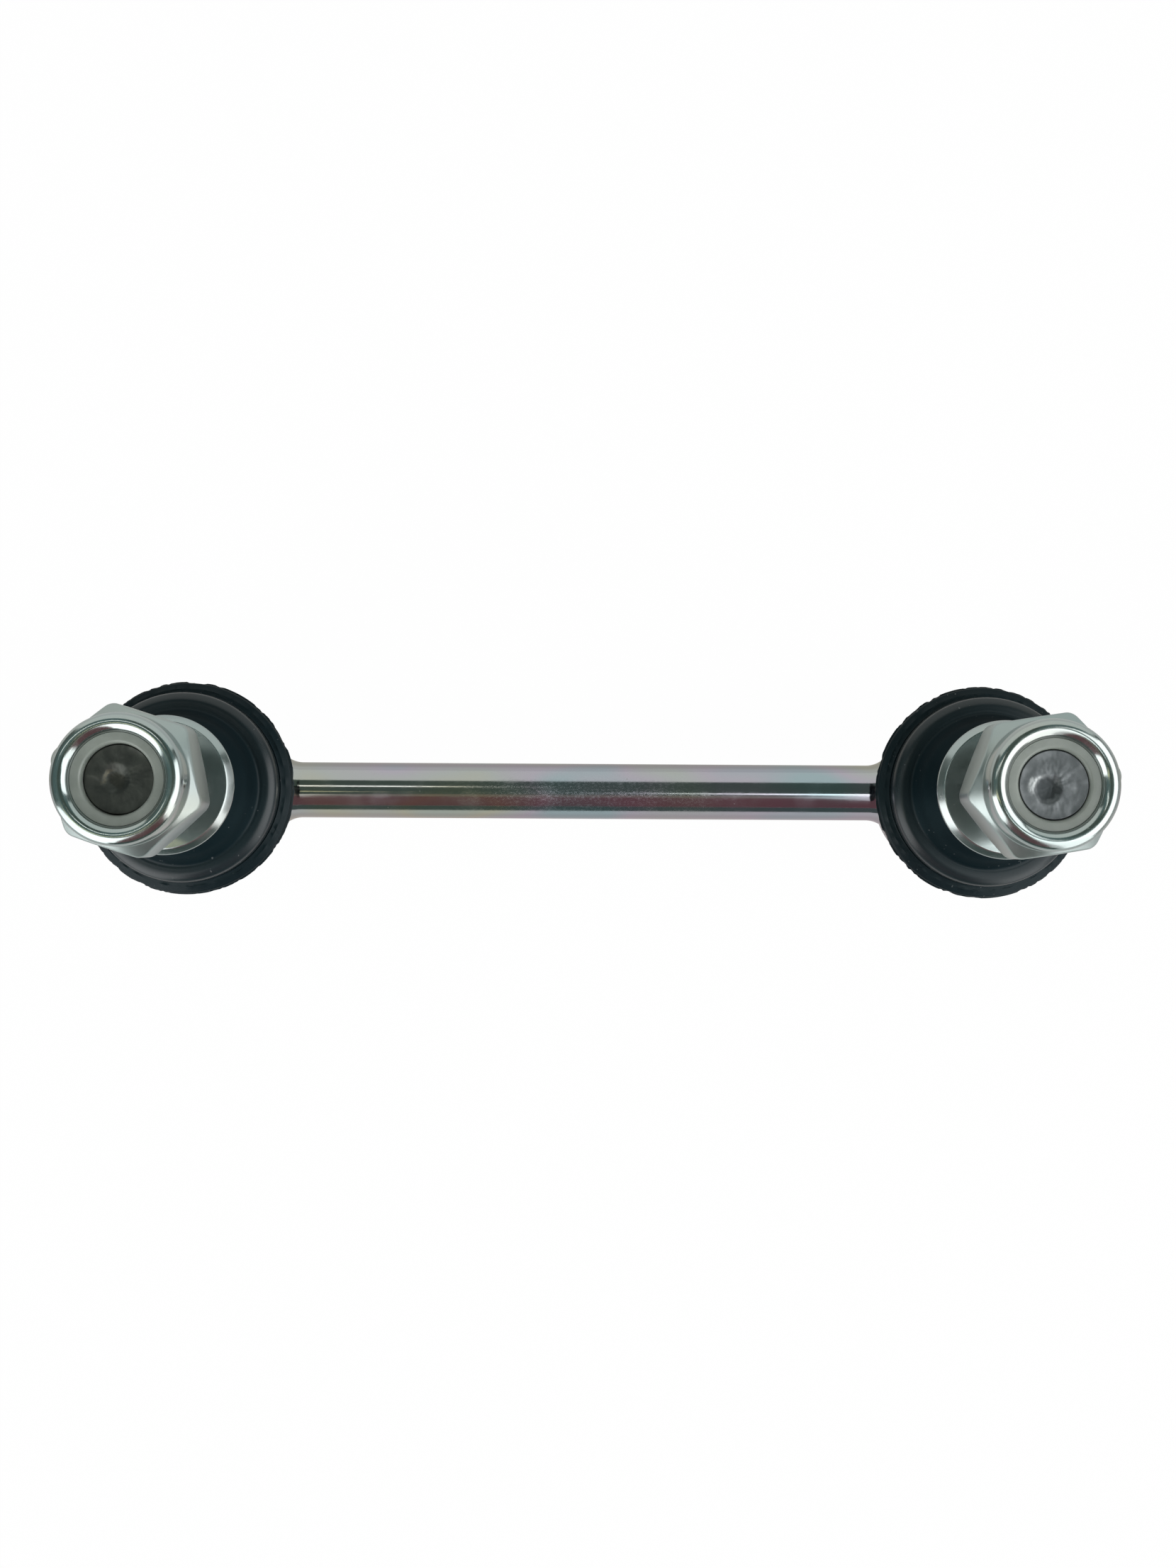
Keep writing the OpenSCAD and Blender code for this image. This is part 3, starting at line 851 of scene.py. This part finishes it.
sheet_white = bpy.data.materials.new("sheet_white")
sheet_white.use_nodes = True
sheet_tree = sheet_white.node_tree
paper = sheet_tree.nodes["Principled BSDF"]
paper.inputs["Base Color"].default_value = (0.86, 0.86, 0.86, 1.0)
paper.inputs["Roughness"].default_value = 0.9
start = Signal(sheet_tree)
mirrored = start.node("ShaderNodeLightPath", {}, {}, "Is Glossy Ray")
# Painted shadow: what the plating sees of the sheet darkens within 60 mm of the link, pinker on the
# near side and olive on the far side.
across = start.where().part("Y")
painted_shadow_tones = across.above(-MM, MM).blend((0.60, 0.55, 0.555), (0.50, 0.49, 0.45))
painted_shadow_mirror_tone = abs(across).above(0.0, PAINTED_SHADOW_REACH).blend(painted_shadow_tones, (0.73, 0.75, 0.74))
glow = start.node(
    "ShaderNodeEmission", {}, {"Color": mirrored.blend(WHITE, painted_shadow_mirror_tone), "Strength": 1.0})
mixed = start.node(
    "ShaderNodeMixShader", {},
    {0: seen_as_background(start) * SHEET_GLOW, 1: Signal(sheet_tree, paper.outputs[0]), 2: glow})
sheet_tree.links.new(mixed.socket, sheet_tree.nodes["Material Output"].inputs["Surface"])
flat_card(
    "white_sheet", overhead(-SHEET_HALF, -SHEET_HALF, SHEET_HALF, SHEET_HALF, SHEET_Z), sheet_white)


def reflected(name, corners, colour, strength=1.0):
    """A card that only the plating's reflections show."""
    material = bpy.data.materials.new(name)
    material.use_nodes = True
    tree = material.node_tree
    light = Signal(tree).node(
        "ShaderNodeEmission", {}, {"Color": (*colour, 1.0), "Strength": strength})
    tree.links.new(light.socket, tree.nodes["Material Output"].inputs["Surface"])
    card = flat_card(name, corners, material)
    card.visible_camera = False
    card.visible_diffuse = False
    card.visible_transmission = False
    card.visible_volume_scatter = False
    card.visible_shadow = False


WALL_X = 1.5
FAR_Y = 1.2
NEAR_Y = -1.0
WALL_H = 1.6
DIM_WALL = (0.13, 0.16, 0.15)
reflected("far_wall", upright((-WALL_X, FAR_Y), (WALL_X, FAR_Y), 0.0, WALL_H), (0.86, 0.90, 0.87))
for name, x in (("left_wall", -WALL_X), ("right_wall", WALL_X)):
    reflected(name, upright((x, NEAR_Y), (x, FAR_Y), 0.0, WALL_H), DIM_WALL)

CEILING_Z = 0.80
CEILING_Y = (-0.28, 0.66)
BENCH_X = 0.22
OVER_BENCH = (0.085, 0.118, 0.102)
BESIDE_BENCH = (0.130, 0.198, 0.195)
for name, x0, x1, tone in (
    ("ceiling", -BENCH_X, BENCH_X, OVER_BENCH),
    ("ceiling_left", -WALL_X, -BENCH_X, BESIDE_BENCH),
    ("ceiling_right", BENCH_X, WALL_X, BESIDE_BENCH),
):
    reflected(name, overhead(x0, CEILING_Y[0], x1, CEILING_Y[1], CEILING_Z), tone)

STRIP_Z = 0.79
reflected("strip_left", overhead(-0.70, 0.185, -0.075, 0.225, STRIP_Z), (1.0, 1.0, 0.96), 3.2)
for name, corners, tone, strength in (
    ("strip_left_near", [(-0.50, -0.160), (-0.125, -0.112), (-0.125, -0.100), (-0.50, -0.075)],
     (1.0, 0.95, 0.62), 1.8),
    ("strip_right", [(0.04, -0.115), (0.70, -0.41), (0.70, -0.05), (0.04, -0.105)],
     (0.95, 1.0, 1.0), 3.0),
):
    reflected(name, [(x, y, STRIP_Z) for x, y in corners], tone, strength)

EDGE_Z, CLOTH_Z, RAIL_Z, RAIL_TOP = 0.012, 0.083, 0.345, 0.56
near_side = (-0.10, -0.163), (0.09, -0.163)
reflected("tan_rail", upright(*near_side, RAIL_Z, RAIL_TOP), (0.24, 0.205, 0.175))
reflected("red_cloth", upright(*near_side, CLOTH_Z, RAIL_Z), (0.178, 0.092, 0.100))
reflected(
    "dark_edge", upright((-0.12, -0.164), (0.11, -0.164), EDGE_Z, CLOTH_Z), (0.085, 0.12, 0.112))

SILL_Z = 0.15
corner_post = (0.30, -0.20)
right_side = corner_post, (0.30, 0.17)
reflected("pane_right", upright(*right_side, SILL_Z, 0.70), WHITE, 2.5)
reflected("sill_right", upright(*right_side, 0.0, SILL_Z), WHITE, 0.5)
reflected("pane_corner", upright(corner_post, (0.133, -0.178), 0.03, 0.75), WHITE, 2.2)
reflected("pane_left", upright((-0.29, -0.075), (-0.11, -0.215), 0.03, 0.43), WHITE, 2.6)


LINK_MIDDLE = Vector((0, 0, 0.02))


def window(name, place, size, watts):
    """A window's daylight, turned to the middle of the link."""
    lamp = bpy.data.lights.new(name, "AREA")
    lamp.shape = "RECTANGLE"
    lamp.size, lamp.size_y = size
    lamp.energy = watts
    made = bpy.data.objects.new(name, lamp)
    made.location = place
    to_link = LINK_MIDDLE - Vector(place)
    made.rotation_euler = to_link.to_track_quat("-Z", "Y").to_euler()
    bpy.context.scene.collection.objects.link(made)


window("window_right", (0.95, -0.30, 0.62), (0.9, 1.2), 10)
window("window_left", (-0.68, -0.75, 0.58), (0.6, 1.0), 6.5)

PLAIN_LIGHT = 0.35
room = bpy.data.worlds.new("pale_room")
bpy.context.scene.world = room
room.use_nodes = True
room_tree = room.node_tree
backdrop = room_tree.nodes["Background"]
strength = seen_as_background(Signal(room_tree)) * (1.0 - PLAIN_LIGHT) + PLAIN_LIGHT
room_tree.links.new(strength.socket, backdrop.inputs["Strength"])
backdrop.inputs["Color"].default_value = (*WHITE, 1.0)

# Camera. About 23 cm above the link and tilted by two degrees, as the photograph was taken. From
# so near, the high nuts stand outwards over their boots.

FRAME_W, FRAME_H = 1659, 2212
FOCAL_PX = 2120.6
SENSOR = 36.0
CAMERA_AT = (-1.818, -6.291, 230.104)
lens = bpy.data.cameras.new("camera")
lens.sensor_width = SENSOR
lens.lens = FOCAL_PX * SENSOR / max(FRAME_W, FRAME_H)
camera = bpy.data.objects.new("camera", lens)
tilt = Matrix.Identity(3)
for axis, degrees in (("Z", -0.333), ("Y", 0.582), ("X", -1.931)):
    tilt = tilt @ Matrix.Rotation(math.radians(degrees), 3, axis)
camera.matrix_world = Matrix.Translation(Vector(CAMERA_AT) * MM) @ tilt.transposed().to_4x4()
bpy.context.scene.collection.objects.link(camera)
bpy.context.scene.camera = camera
bpy.context.scene.view_settings.view_transform = "Standard"
